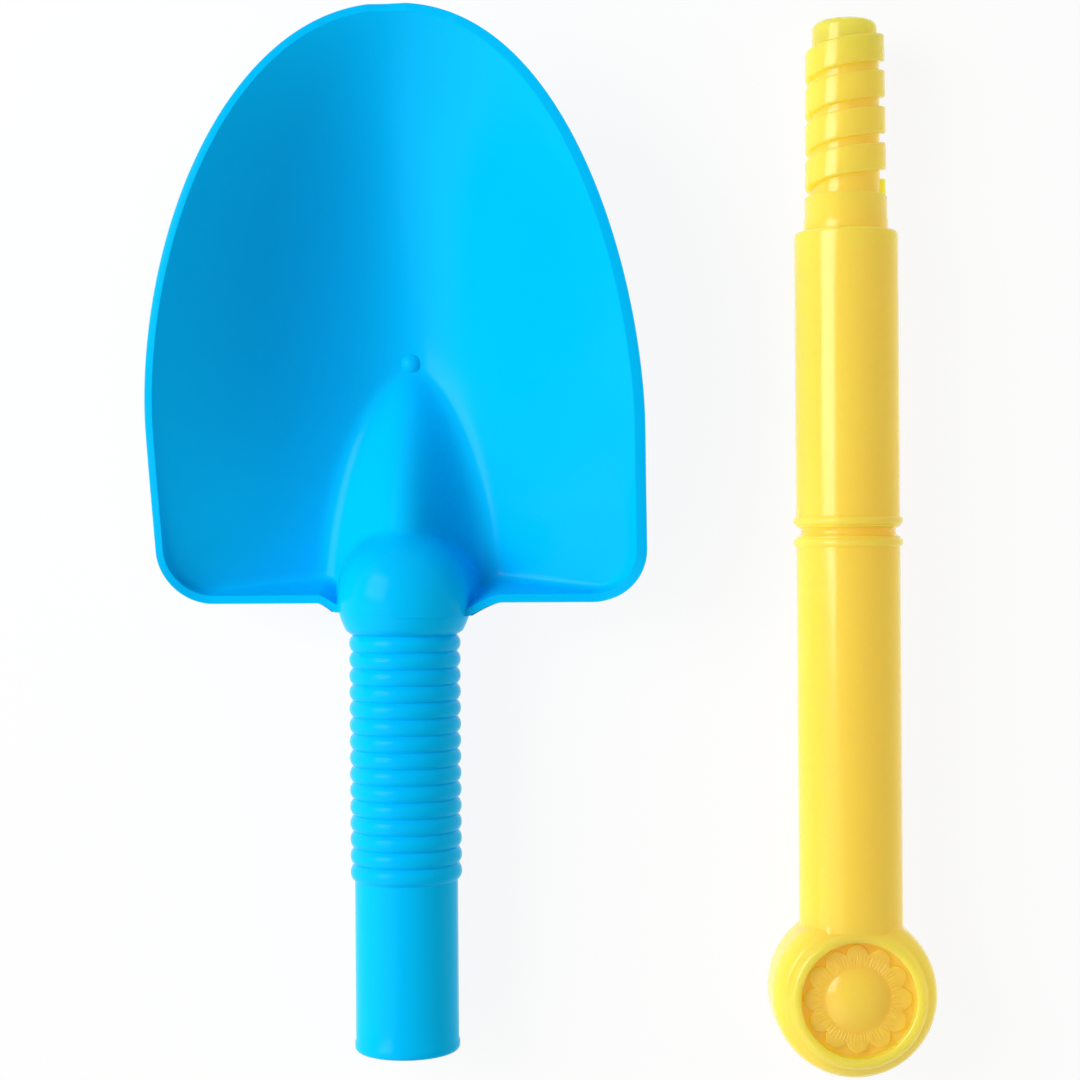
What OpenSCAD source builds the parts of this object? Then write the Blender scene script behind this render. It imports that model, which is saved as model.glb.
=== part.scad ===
// Two-part sand shovel: a scoop with a screw socket, and the handle that screws into it.
// Both lie on the ground beside each other, long axes along Y and the scoop's bowl upward.

/* [Blade] */
// Length of the blade from the heel edge to the tip
blade_len = 167.8; // [150:0.1:190]
// Width of the blade at its widest
blade_w = 140.5; // [120:0.5:160]
// Length of the front stretch in which the outline closes to the tip
taper_len = 116; // [100:1:130]
// How late the outline of that stretch starts to close (2 is an ellipse)
taper_power = 1.75; // [1.6:0.05:2.2]
// How blunt the tip is (2 is an ellipse)
tip_blunt = 2.15; // [1.9:0.05:2.4]
// Radius of the two heel corners, seen from above
corner_r = 15; // [10:0.5:25]
// Thickness of the blade's wall
blade_wall = 2.4; // [1.8:0.1:3]
// Height of the rim over the socket's axis at the heel
rim_heel = 4; // [3:0.5:10]
// Height of the rim over the socket's axis at the tip
rim_tip = 25.5; // [18:0.5:30]
// How far the rim arches over the straight line between its two ends
rim_arch = 14.5; // [8:0.1:18]
// Length of the level floor in front of the heel
floor_len = 59; // [45:1:75]
// Half width of the rounded valley between the sloping sides
valley_r = 25; // [18:0.5:32]
// Slope of the wall that closes the bowl at the heel, in degrees
heel_slope = 78; // [70:1:80]
// Softness of the corner between floor and heel wall
heel_soft = 5; // [3:0.5:8]
// How fast the heel wall sinks along the sides, as a slope
wall_fade = 0.25; // [0.15:0.05:0.5]

/* [Frog] */
// Length of the raised frog from the centre of the shoulder ball to its tip
frog_len = 67; // [55:1:75]
// Width of the frog's foot at the ball
frog_w = 66; // [50:0.5:76]
// Height of the frog's crest over the socket's axis at the ball
frog_top = 18; // [15:0.5:18.5]
// Curve of the frog's crest (1 is straight)
frog_power = 1.5; // [1:0.05:2]
// How blunt the frog's tip is, seen from above (2 is an ellipse)
frog_blunt = 1.2; // [1:0.05:2]
// Diameter of the small raised dot before the frog's tip
dot_d = 6; // [4:0.5:8]
// Height of the dot
dot_h = 1.4; // [0.8:0.1:2]
// Distance from the frog's tip to the centre of the dot
dot_gap = 2.5; // [2:0.5:8]

/* [Socket] */
// Diameter of the shoulder ball
ball_d = 39.2; // [36:0.2:42]
// Distance from the heel edge forward to the ball's centre
ball_set = 1.35; // [0:0.05:5]
// Reach of the web between heel edge and ball to each side of the axis
web_w = 26; // [24:0.5:32]
// How far the web draws the heel edge back along the ball
web_d = 3; // [2:0.1:6]
// Outside diameter of the socket tube
tube_d = 30; // [29:0.1:31]
// Length of the tube from the ball's centre to the mouth
tube_len = 131.7; // [125:0.1:150]
// Number of grip ribs
rib_count = 15; // [8:1:15]
// Distance from rib to rib
rib_pitch = 4.74; // [4:0.02:5]
// Diameter over the ribs
rib_d = 32.5; // [32:0.1:34]
// Radius of a rib's round back
rib_r = 3.2; // [2.8:0.1:4]
// Distance from the ball's centre to the edge of the first rib
rib_set = 11; // [10:0.5:14]
// Diameter of the thickened mouth
mouth_d = 30.6; // [30:0.1:32]
// Length of the thickened mouth
mouth_len = 3.2; // [2.6:0.1:5]
// Radius of the mouth's outer edge
mouth_r = 1.3; // [0.6:0.1:1.3]
// Diameter of the hollow behind the screw bore
core_d = 22; // [18:0.5:23]

/* [Screw] */
// Length of the spigot from the handle's shoulder to its end
spigot_len = 61.5; // [56:0.1:66]
// Diameter of the nose in front of the screw
nose_d = 18.8; // [17:0.1:19]
// Radius of the nose's edge
nose_r = 2; // [1:0.1:2.5]
// Diameter at the bottom of the screw's groove
root_d = 19.8; // [19.2:0.1:20.4]
// Diameter over the screw at the nose
crest_tip_d = 22.9; // [22.6:0.1:23.4]
// Diameter over the screw at the collar
crest_end_d = 23.9; // [23.5:0.1:24]
// Diameter of the plain collar
collar_d = 24.2; // [24.1:0.1:24.6]
// Length of the plain collar
collar_len = 10.5; // [9:0.1:11]
// Advance of the right-hand screw in one turn
screw_pitch = 10.55; // [9.6:0.05:11.2]
// Turns of the screw from the collar to the nose
screw_turns = 4.1; // [3.6:0.1:4.1]
// Width of the screw's groove
groove_w = 2.5; // [2.2:0.1:3.2]
// Distance from the shoulder to the groove's first pass on the right
groove_set = 17.1; // [15.5:0.1:17.1]
// Radial gap between the collar and the plain mouth of the bore
fit_gap = 0.25; // [0.1:0.05:0.45]
// Radial gap between the screw's bands and the bore behind that mouth
crest_gap = 0.15; // [0.1:0.05:0.3]
// Gap on each side of the socket's screw rib in the groove
screw_gap = 0.3; // [0.2:0.05:0.4]
// Plain stretch of bore between the mouth and the screw rib
lead_in = 12; // [11.5:0.1:13]
// Turns of the screw rib in the socket
rib_turns = 3; // [2:0.25:3]
// Depth of bore left free beyond the end of the spigot
end_gap = 1.4; // [0.5:0.1:4]

/* [Handle] */
// Diameter of the shaft
shaft_d = 30.2; // [29.4:0.1:31]
// Length of the shaft from the shoulder to the knob's centre
shaft_len = 222; // [200:1:240]
// Radius of the shoulder's edge
shoulder_r = 1.1; // [0.5:0.1:2]
// Wall of the hollow handle
shaft_wall = 2.5; // [2:0.1:3]
// Distance from the shoulder to the middle of the two ring beads
bead_set = 87.6; // [60:0.2:140]
// Distance between the two ring beads
bead_gap = 6.3; // [5.6:0.1:8]
// Diameter over the ring beads
bead_d = 31.9; // [31.4:0.1:34]
// Radius of a bead's round back
bead_r = 1.5; // [1.2:0.1:1.8]
// Diameter at the bottom of the groove between the beads
bead_root_d = 27.4; // [27:0.1:29]

/* [Knob] */
// Diameter of the round knob
knob_d = 48.6; // [44:0.2:54]
// Thickness of the knob over its two flat faces
knob_t = 28.4; // [24:0.2:30]
// Radius of the knob's round edge
knob_r = 10; // [6:0.5:10.5]
// Diameter of the raised ring on each face, measured over its crest
ring_d = 35.6; // [34:0.2:37]
// Radius of that ring's round back
ring_r = 1.9; // [1.5:0.1:2.4]
// Height of the ring's crest over the face
ring_h = 1.4; // [0.8:0.1:1.6]
// Depth of the recess inside the ring, below the face
recess_h = 2.6; // [2:0.1:3]
// Number of petals of the rosette
petal_count = 12; // [8:1:16]
// Diameter over the petals
petal_d = 31.4; // [28:0.2:32]
// Width of one petal's round end
petal_w = 7.7; // [6.2:0.1:8]
// Thickness of the petals over the recess
petal_h = 1.1; // [0.6:0.1:1.6]
// Diameter of the rosette's domed centre
dome_d = 19; // [15:0.2:21]
// Height of the domed centre over the petals
dome_h = 2.7; // [1.5:0.1:3]
// Wall of the knob around its hollow
knob_wall = 3; // [2.5:0.1:4]

/* [Layout] */
// Distance between the scoop's axis and the handle's axis
axis_gap = 130; // [120:0.5:160]
// How far the handle's shoulder lies in front of the socket's mouth
handle_lead = 237.4; // [200:0.5:260]
// How far the scoop has rolled on its round belly, in degrees
scoop_roll = 4.5; // [0:0.5:6]

/* [Hidden] */
$fn = 96;
// Slack by which cutting bodies run past the faces that they cut
cut = 1;

// Rows of the blade's surface before and behind the frog's tip, its columns, and steps over its round rim
rows_front = 22;
rows_back = 24;
rows = rows_front + rows_back;
cols = 32;
rim_steps = 4;
// Gap between the tip and the blade's first row
tip_gap = 0.25;
// Share of the columns that follow the frog, and their least share of the width
frog_cols = 1 / 2;
frog_share = 0.16;
// Step for measuring the slope of the blade's surface
slope_step = 0.05;
// Segments in one turn of a screw
turn_steps = 36;

// Blade, seen from the ball's centre with the tip towards +Y
heel_y = -ball_set;
tip_y = blade_len - ball_set;
// Share of the wall by which the rim's round edge stands out past the surface
rim_share = 0.7;
rim_out = rim_share * blade_wall;
half_w = blade_w / 2 - rim_out;
front_y = tip_y - rim_out;
back_y = heel_y + rim_out;
floor_low = blade_wall - ball_d / 2;
// Distance from the heel edge over which the web fades out
web_reach = 20;

function smooth_max(a, b, k) = (a + b + sqrt((a - b) * (a - b) + k * k)) / 2;
function unit(v) = v / norm(v);

// Half width of the outline before its heel corners are rounded
function open_half(y) =
    let (s = max(0, min(1, (taper_len - (front_y - y)) / taper_len)))
    half_w * pow(max(0, 1 - pow(s, taper_power)), 1 / tip_blunt);
// Half width with the heel corners rounded
function outline_half(y) =
    let (d = max(0, corner_r - (y - back_y)))
    open_half(y) - corner_r + sqrt(max(0, corner_r * corner_r - d * d));

function along(y) = (y - heel_y) / blade_len;
function rim_z(y) =
    let (t = along(y))
    rim_heel * (1 - t) + rim_tip * t + 4 * rim_arch * t * (1 - t);
function floor_z(y) =
    let (t = max(0, (y - heel_y - floor_len) / (front_y - heel_y - floor_len)))
    floor_low + (rim_z(front_y) - floor_low) * t * t;

// Cross-section: a rounded valley between even slopes that reach the rim
function valley(x) = sqrt(x * x + valley_r * valley_r) - valley_r;
function bowl_z(x, y) =
    let (low = floor_z(y), w = max(open_half(y), tip_gap))
    low + (rim_z(y) - low) * valley(x) / valley(w);
// Distance in from the outline near the heel
function edge_gap(x, y) =
    let (cx = abs(x) - half_w + corner_r, cy = back_y + corner_r - y)
    cx > 0 && cy > 0 ? corner_r - norm([cx, cy]) : min(y - back_y, open_half(y) - abs(x));
// Wall that closes the bowl at the heel, runs round its corners and sinks into the sides
function heel_z(x, y) =
    rim_z(y) - edge_gap(x, y) * tan(heel_slope) - max(0, y - back_y - corner_r) * wall_fade;
// Frog: a rounded ridge on the floor that runs down from the ball
function frog_half(y) =
    let (t = min(1, max(0, y) / frog_len))
    frog_w / 2 * sqrt(max(0, 1 - pow(t, frog_blunt)));
function frog_rise(x, y) =
    let (t = min(1, max(0, y) / frog_len), u = min(1, abs(x) / max(frog_half(y), tip_gap)))
    (frog_top - floor_low) * (1 - pow(t, frog_power)) * pow(1 - u * u, 2);
function top_z(x, y) = smooth_max(bowl_z(x, y) + frog_rise(x, y), heel_z(x, y), heel_soft);

// The web draws the heel edge back on both sides of the ball
function web(x, y) =
    let (u = max(0, min(1, (web_w - abs(x)) / (web_w - ball_d / 2))),
         v = max(0, 1 - (y - back_y) / web_reach))
    web_d * u * u * v * v;

// Rows crowd at the blade's tip, at the frog's tip and at the heel
function crowd(from, to, t) = from + (to - from) * (1 - cos(180 * t)) / 2;
function row_y(j) =
    j < rows_front ? crowd(front_y - tip_gap, frog_len, j / rows_front)
    : crowd(frog_len, back_y, (j - rows_front) / rows_back);
function col_x(i, y) =
    let (t = abs(2 * i / cols - 1),
         w = outline_half(y),
         g = max(frog_half(y), frog_share * w))
    sign(2 * i - cols) * (t < frog_cols ? g * t / frog_cols : g + (w - g) * (t - frog_cols) / (1 - frog_cols));
function top_point(j, i) =
    let (y = row_y(j), x = col_x(i, y))
    [x, y - web(x, y), top_z(x, y)];
function top_normal(j, i) =
    let (y = row_y(j), x = col_x(i, y), e = slope_step)
    unit([(top_z(x - e, y) - top_z(x + e, y)) / (2 * e), (top_z(x, y - e) - top_z(x, y + e)) / (2 * e), 1]);

// Rows and columns of the rim, clockwise from the left end of the tip
rim_path = concat(
    [for (i = [0 : cols]) [0, i]],
    [for (j = [1 : rows]) [j, cols]],
    [for (i = [cols - 1 : -1 : 0]) [rows, i]],
    [for (j = [rows - 1 : -1 : 1]) [j, 0]]);
rim_n = len(rim_path);
grid_n = (rows + 1) * (cols + 1);

tops = [for (j = [0 : rows]) for (i = [0 : cols]) top_point(j, i)];
normals = [for (j = [0 : rows]) for (i = [0 : cols]) top_normal(j, i)];
backs = tops - blade_wall * normals;
function grid_at(j, i) = j * (cols + 1) + i;
function rim_at(k) = let (p = rim_path[(k + rim_n) % rim_n]) grid_at(p[0], p[1]);
function rim_side(k) = unit(cross(normals[rim_at(k)], tops[rim_at(k + 1)] - tops[rim_at(k - 1)]));
rims = [for (s = [1 : rim_steps - 1]) for (k = [0 : rim_n - 1])
    let (a = 180 * s / rim_steps, n = normals[rim_at(k)])
    tops[rim_at(k)] - blade_wall / 2 * n + blade_wall / 2 * (cos(a) * n + sin(a) * rim_side(k))];
// Point k of the rim on step s, from the top surface round to the back
function rim_index(s, k) =
    s == 0 ? rim_at(k)
    : s == rim_steps ? grid_n + rim_at(k)
    : 2 * grid_n + (s - 1) * rim_n + k % rim_n;

function roll_point(p) = [
    p[0] * cos(scoop_roll) - p[2] * sin(scoop_roll),
    p[1],
    p[0] * sin(scoop_roll) + p[2] * cos(scoop_roll)];
blade_points = concat(tops, backs, rims);
rolled = [for (p = blade_points) roll_point(p)];

// Where the frog ends, and the floor under the dot
dot_y = frog_len + dot_gap;
dot_z = top_z(0, dot_y);
dot_ball_r = (dot_d * dot_d / 4 + dot_h * dot_h) / (2 * dot_h);

// Socket bore and screw, measured from the mouth or from the shoulder seated on it
mouth_bore_d = collar_d + 2 * fit_gap;
bore_d = crest_end_d + 2 * crest_gap;
bore_len = spigot_len + end_gap;
screw_rib_w = groove_w - 2 * screw_gap;
screw_rib_d = root_d + 2 * screw_gap;
// Depth to which a screw rib, a band or the rosette is rooted in the wall that carries it
root_in = 0.6;
// Middle of the raised band next to the groove
band_set = groove_set - screw_pitch / 2;
band_w = screw_pitch - groove_w;

// Hollows of the handle
hollow_d = shaft_d - 2 * shaft_wall;
spigot_hollow_d = root_d - 2 * shaft_wall;
// Share of the ring's radius by which the recess stays inside the ring's crest, across the recess
ring_cover = 1.2;
recess_d = ring_d - ring_cover * ring_r;
hollow_len = shaft_len - recess_d / 2 - knob_wall;
knob_hollow_t = knob_t - 2 * recess_h - 2 * knob_wall;
knob_hollow_d = recess_d - 2 * knob_wall;
neck_hollow_d = knob_hollow_t - knob_wall;

// Row: scoop axis at x = 0, handle axis at x = axis_gap, mouth of the socket at y = -tube_len
handle_y = handle_lead - tube_len;
row_min_x = min([for (p = rolled) p[0]]);
row_max_x = axis_gap + knob_d / 2;
row_min_y = min(-tube_len, handle_y - shaft_len - knob_d / 2);
row_max_y = max(max([for (p = rolled) p[1]]), handle_y + spigot_len);
scoop_z = max(ball_d / 2, -min([for (p = rolled) p[2]]));
handle_z = max(bead_d / 2, knob_t / 2 + max(ring_h, petal_h + dome_h - recess_h));
scoop_at = [-(row_min_x + row_max_x) / 2, -(row_min_y + row_max_y) / 2, scoop_z];
handle_at = [scoop_at[0] + axis_gap, scoop_at[1] + handle_y, handle_z];

// Turns a body built along Z so that its axis runs along Y
module along_y() {
    rotate([-90, 0, 0]) children();
}

// Helical band of rectangular section, its middle at height z0 where it starts
module helix_band(r_in, r_out, w, z0, turns, start = 0) {
    n = ceil(turns * turn_steps);
    points = [for (k = [0 : n])
        let (t = turns * k / n, a = 360 * t + start, z = z0 + screw_pitch * t)
        for (c = [[r_in, -w / 2], [r_out, -w / 2], [r_out, w / 2], [r_in, w / 2]])
        [c[0] * cos(a), c[0] * sin(a), z + c[1]]];
    sides = [for (k = [0 : n - 1]) for (c = [0 : 3])
        let (a = 4 * k + c, b = 4 * k + (c + 1) % 4)
        each [[a, b, b + 4], [a, b + 4, a + 4]]];
    ends = [[3, 2, 1], [3, 1, 0], [4 * n, 4 * n + 1, 4 * n + 2], [4 * n, 4 * n + 2, 4 * n + 3]];
    polyhedron(points, concat(sides, ends));
}

// Thin dished shell with a round rim
module blade_shell() {
    top_faces = [for (j = [0 : rows - 1]) for (i = [0 : cols - 1])
        let (a = grid_at(j, i), b = a + 1, d = grid_at(j + 1, i), c = d + 1)
        each [[a, b, c], [a, c, d]]];
    back_faces = [for (f = top_faces) [f[0] + grid_n, f[2] + grid_n, f[1] + grid_n]];
    rim_faces = [for (s = [0 : rim_steps - 1]) for (k = [0 : rim_n - 1])
        let (a = rim_index(s, k), b = rim_index(s, k + 1), c = rim_index(s + 1, k + 1), d = rim_index(s + 1, k))
        each [[a, d, c], [a, c, b]]];
    polyhedron(blade_points, concat(top_faces, back_faces, rim_faces));
}

// Low round dot on the floor in front of the frog
module floor_dot() {
    translate([0, dot_y, dot_z]) intersection() {
        translate([0, 0, dot_h - dot_ball_r]) sphere(dot_ball_r);
        translate([0, 0, -blade_wall / 2]) cylinder(d = 2 * dot_d, h = blade_wall / 2 + 2 * dot_h);
    }
}

// Outside of the ball, the ribs and the tube, from the mouth upward
module socket_outside() {
    rotate_extrude() {
        square([tube_d / 2, tube_len]);
        for (k = [0 : rib_count - 1])
            translate([rib_d / 2 - rib_r, tube_len - rib_set - (k + 0.5) * rib_pitch]) circle(rib_r);
    }
    translate([0, 0, tube_len]) sphere(d = ball_d);
    rotate_extrude() {
        translate([0, mouth_r]) square([mouth_d / 2, mouth_len - mouth_r]);
        square([mouth_d / 2 - mouth_r, mouth_len]);
        translate([mouth_d / 2 - mouth_r, mouth_r]) circle(mouth_r);
    }
}

// Plain mouth, screw bore, then the narrower hollow that ends in a dome inside the ball
module socket_inside() {
    translate([0, 0, -cut]) cylinder(d = mouth_bore_d, h = lead_in + cut);
    cylinder(d = bore_d, h = bore_len);
    translate([0, 0, bore_len - cut]) cylinder(d = core_d, h = tube_len - bore_len + cut);
    translate([0, 0, tube_len]) sphere(d = core_d);
}

module scoop() {
    color("deepskyblue") translate(scoop_at) {
        difference() {
            union() {
                rotate([0, -scoop_roll, 0]) {
                    blade_shell();
                    floor_dot();
                }
                translate([0, -tube_len, 0]) along_y() socket_outside();
            }
            translate([0, -tube_len, 0]) along_y() socket_inside();
        }
        translate([0, -tube_len, 0]) along_y()
            helix_band(screw_rib_d / 2, bore_d / 2 + root_in, screw_rib_w,
                lead_in + screw_rib_w, rib_turns, 360 * (lead_in + screw_rib_w - groove_set) / screw_pitch);
    }
}

// Shaft, collar, core of the screw and nose, from the knob's centre up to the end of the nose
module shaft_outside() {
    rotate_extrude() {
        difference() {
            union() {
                translate([0, -shaft_len]) square([shaft_d / 2, shaft_len - shoulder_r]);
                translate([0, -shaft_len]) square([shaft_d / 2 - shoulder_r, shaft_len]);
                translate([shaft_d / 2 - shoulder_r, -shoulder_r]) circle(shoulder_r);
                for (s = [-1, 1])
                    translate([bead_d / 2 - bead_r, s * bead_gap / 2 - bead_set]) circle(bead_r);
            }
            translate([shaft_d / 2, -bead_set]) circle((shaft_d - bead_root_d) / 2);
        }
        square([collar_d / 2, collar_len]);
        square([root_d / 2, spigot_len - screw_pitch]);
        square([nose_d / 2, spigot_len - nose_r]);
        square([nose_d / 2 - nose_r, spigot_len]);
        translate([nose_d / 2 - nose_r, spigot_len - nose_r]) circle(nose_r);
    }
}

// Wide raised bands of the right-hand screw
module screw_bands() {
    intersection() {
        cylinder(d1 = crest_end_d, d2 = crest_tip_d, h = spigot_len);
        helix_band(root_d / 2 - root_in, crest_end_d / 2 + cut, band_w, band_set, screw_turns);
    }
}

// Rosette of round petals about a domed centre, rooted in the floor of the recess
module rosette() {
    translate([0, 0, -root_in]) linear_extrude(petal_h + root_in) {
        circle(d = petal_d - petal_w);
        for (k = [0 : petal_count - 1])
            rotate(90 + 360 * k / petal_count) translate([(petal_d - petal_w) / 2, 0]) circle(d = petal_w);
    }
    dome_r = (dome_d * dome_d / 4 + dome_h * dome_h) / (2 * dome_h);
    intersection() {
        translate([0, 0, petal_h + dome_h - dome_r]) sphere(dome_r);
        translate([0, 0, -root_in]) cylinder(d = dome_d, h = root_in + petal_h + dome_h + cut);
    }
}

// Round knob, standing on edge, with a raised ring on each face
module knob() {
    rotate_extrude() {
        intersection() {
            union() {
                square([knob_d - 2 * knob_r, knob_t], center = true);
                square([knob_d, knob_t - 2 * knob_r], center = true);
                for (s = [-1, 1]) {
                    translate([knob_d / 2 - knob_r, s * (knob_t / 2 - knob_r)]) circle(knob_r);
                    translate([ring_d / 2, s * (knob_t / 2 + ring_h - ring_r)]) circle(ring_r);
                }
            }
            translate([0, -knob_t]) square([knob_d, 2 * knob_t]);
        }
    }
}

// Recess inside the ring on each face
module recesses() {
    for (s = [-1, 1])
        translate([0, 0, s * (knob_t - recess_h)]) cylinder(d = recess_d, h = knob_t, center = true);
}

// Hollow of the handle, open at the end of the nose
module handle_inside() {
    translate([0, 0, -shaft_wall - cut]) cylinder(d = spigot_hollow_d, h = spigot_len + shaft_wall + 2 * cut);
    translate([0, 0, -hollow_len]) cylinder(d = hollow_d, h = hollow_len - shaft_wall);
    translate([0, 0, -shaft_len]) {
        cylinder(d = neck_hollow_d, h = shaft_len - hollow_len + cut);
        rotate([90, 0, 0]) cylinder(d = knob_hollow_d, h = knob_hollow_t, center = true);
    }
}

module handle() {
    color("gold") translate(handle_at) {
        difference() {
            union() {
                along_y() {
                    shaft_outside();
                    screw_bands();
                }
                translate([0, -shaft_len, 0]) knob();
            }
            along_y() handle_inside();
            translate([0, -shaft_len, 0]) recesses();
        }
        for (s = [0, 1])
            mirror([0, 0, s]) translate([0, -shaft_len, knob_t / 2 - recess_h]) rosette();
    }
}

scoop();
handle();
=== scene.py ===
"""Sand shovel in two plastic mouldings, dressed for the photograph's view from above."""

import logging
import math
from collections.abc import Sequence
from dataclasses import dataclass
from enum import Enum

import bpy
from mathutils import Matrix, Vector


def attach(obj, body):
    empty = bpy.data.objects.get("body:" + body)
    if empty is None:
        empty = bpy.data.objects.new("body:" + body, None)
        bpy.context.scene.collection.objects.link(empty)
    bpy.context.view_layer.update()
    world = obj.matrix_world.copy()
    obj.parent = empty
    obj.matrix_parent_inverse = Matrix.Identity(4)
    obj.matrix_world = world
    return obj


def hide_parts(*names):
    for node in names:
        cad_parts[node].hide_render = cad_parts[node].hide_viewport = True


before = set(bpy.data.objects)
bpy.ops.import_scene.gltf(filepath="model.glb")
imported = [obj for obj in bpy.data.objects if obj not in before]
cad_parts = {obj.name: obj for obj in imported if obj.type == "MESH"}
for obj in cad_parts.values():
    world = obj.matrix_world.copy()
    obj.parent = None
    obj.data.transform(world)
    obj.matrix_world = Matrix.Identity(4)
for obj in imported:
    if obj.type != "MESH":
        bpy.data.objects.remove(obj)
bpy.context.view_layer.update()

log = logging.getLogger("sand_shovel")

MM = 0.001
MERGE_GAP = 0.002 * MM
# Largest angle in degrees between faces that are shaded as one surface
SMOOTH_ANGLE = 38.0
# Depth in millimetres to which a rib, a band or a rosette is rooted in what carries it
ROOT_IN = 0.6
# Place on a grid from 0 to 1 beyond which a vertex belongs to its edge
ON_EDGE = 0.999
# Distance in millimetres within which two places count as the same
NEAR = 0.01

Point = tuple[float, float]


class Fuse(Enum):
    """How one body acts on another."""

    ADD = "UNION"
    CUT = "DIFFERENCE"


class Face(Enum):
    """The two faces of the handle's knob, by the way that each looks along Z."""

    FRONT = 1
    BACK = -1


def clamp(value: float, low: float = 0.0, high: float = 1.0) -> float:
    """Keeps a value between two limits."""
    return max(low, min(high, value))


def smooth_step(value: float) -> float:
    """Eases from 0 to 1."""
    t = clamp(value)
    return t * t * (3 - 2 * t)


def smooth_max(a: float, b: float, soft: float) -> float:
    """The larger of two heights, with a rounded corner where they cross."""
    return (a + b + math.sqrt((a - b) ** 2 + soft ** 2)) / 2


def round_max(a: float, b: float, reach: float) -> float:
    """The larger of two heights, rounded only where they differ by less than a reach."""
    return max(a, b) + max(0.0, reach - abs(a - b)) ** 2 / (4 * reach)


def arc(centre: Point, radius: float, start: float, end: float, steps: int) -> list[Point]:
    """Points on an arc.

    Args:
        centre: Middle of the arc.
        radius: Its radius.
        start: Angle of the first point in degrees.
        end: Angle of the last point in degrees.
        steps: Number of stretches between the points.

    Returns:
        The points, both ends included.
    """
    angles = [math.radians(start + (end - start) * k / steps) for k in range(steps + 1)]
    return [(centre[0] + radius * math.cos(a), centre[1] + radius * math.sin(a)) for a in angles]


def deselect() -> None:
    """Leaves nothing selected in object mode."""
    if bpy.context.object and bpy.context.object.mode != "OBJECT":
        bpy.ops.object.mode_set(mode="OBJECT")
    bpy.ops.object.select_all(action="DESELECT")


def pick(piece: bpy.types.Object) -> None:
    """Makes one piece the only selected and active one."""
    deselect()
    piece.select_set(True)
    bpy.context.view_layer.objects.active = piece


def trace(name: str, points: Sequence[Point]) -> bpy.types.Object:
    """Draws a chain of edges in the plane of X and Y by extruding one vertex.

    Args:
        name: Name of the new object.
        points: The chain's points as radius and height in millimetres.

    Returns:
        The object that holds the chain.
    """
    deselect()
    bpy.ops.mesh.primitive_plane_add(size=MM, location=(0, 0, 0))
    piece = bpy.context.object
    piece.name = name
    bpy.ops.object.mode_set(mode="EDIT")
    bpy.ops.mesh.merge(type="CENTER")
    bpy.ops.transform.translate(value=(points[0][0] * MM, points[0][1] * MM, 0))
    for (r0, h0), (r1, h1) in zip(points, points[1:]):
        bpy.ops.mesh.extrude_vertices_move(
            TRANSFORM_OT_translate={"value": ((r1 - r0) * MM, (h1 - h0) * MM, 0)})
    bpy.ops.mesh.select_all(action="SELECT")
    bpy.ops.mesh.remove_doubles(threshold=MERGE_GAP)
    return piece


def close_up() -> None:
    """Merges doubles and turns all faces of the mesh in edit mode outwards, then leaves edit mode."""
    bpy.ops.mesh.select_all(action="SELECT")
    bpy.ops.mesh.remove_doubles(threshold=MERGE_GAP)
    bpy.ops.mesh.normals_make_consistent(inside=False)
    bpy.ops.object.mode_set(mode="OBJECT")


def spin(name: str, points: Sequence[Point], steps: int) -> bpy.types.Object:
    """Turns a profile that starts and ends on the Y axis into a body.

    Args:
        name: Name of the new object.
        points: Profile as radius and height along Y in millimetres.
        steps: Number of segments round the axis.

    Returns:
        The turned body, still at the origin.
    """
    piece = trace(name, points)
    bpy.ops.mesh.spin(steps=steps, angle=2 * math.pi, center=(0, 0, 0), axis=(0, 1, 0))
    close_up()
    return piece


def helix(name: str, profile: Sequence[Point], pitch: float, turns: float, steps: int) -> bpy.types.Object:
    """Sweeps a closed profile along a right-hand helix about the Y axis.

    Args:
        name: Name of the new object.
        profile: Section as radius and height along Y in millimetres, where the helix starts at +X.
        pitch: Advance in one turn in millimetres.
        turns: Number of turns.
        steps: Segments in one turn.

    Returns:
        The swept band with closed ends, still at the origin.
    """
    piece = trace(name, [*profile, profile[0]])
    bpy.ops.object.mode_set(mode="OBJECT")
    screw = piece.modifiers.new("screw", "SCREW")
    screw.axis = "Y"
    screw.angle = 2 * math.pi * turns
    screw.screw_offset = pitch * turns * MM
    screw.steps = screw.render_steps = round(steps * turns)
    screw.use_smooth_shade = False
    pick(piece)
    bpy.ops.object.modifier_apply(modifier=screw.name)
    bpy.ops.object.mode_set(mode="EDIT")
    bpy.ops.mesh.select_all(action="DESELECT")
    bpy.ops.mesh.select_mode(type="EDGE")
    bpy.ops.mesh.select_non_manifold(extend=False)
    bpy.ops.mesh.fill_holes(sides=0)
    bpy.ops.mesh.select_mode(type="VERT")
    close_up()
    return piece


def fuse(piece: bpy.types.Object, how: Fuse, others: Sequence[bpy.types.Object]) -> None:
    """Adds other bodies to a piece, or cuts them out of it, and removes them."""
    for other in others:
        joint = piece.modifiers.new("fuse", "BOOLEAN")
        joint.operation = how.value
        joint.solver = "MANIFOLD"
        joint.object = other
        pick(piece)
        bpy.ops.object.modifier_apply(modifier=joint.name)
        bpy.data.objects.remove(other, do_unlink=True)


def settle(piece: bpy.types.Object, place: Matrix) -> None:
    """Puts a body's mesh where it belongs and leaves its object at the origin."""
    piece.matrix_world = place
    pick(piece)
    bpy.ops.object.transform_apply(location=True, rotation=True, scale=True)


def smooth(piece: bpy.types.Object, angle: float) -> None:
    """Shades a piece smooth up to an angle in degrees between its faces."""
    pick(piece)
    bpy.ops.object.shade_smooth_by_angle(angle=math.radians(angle))


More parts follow.
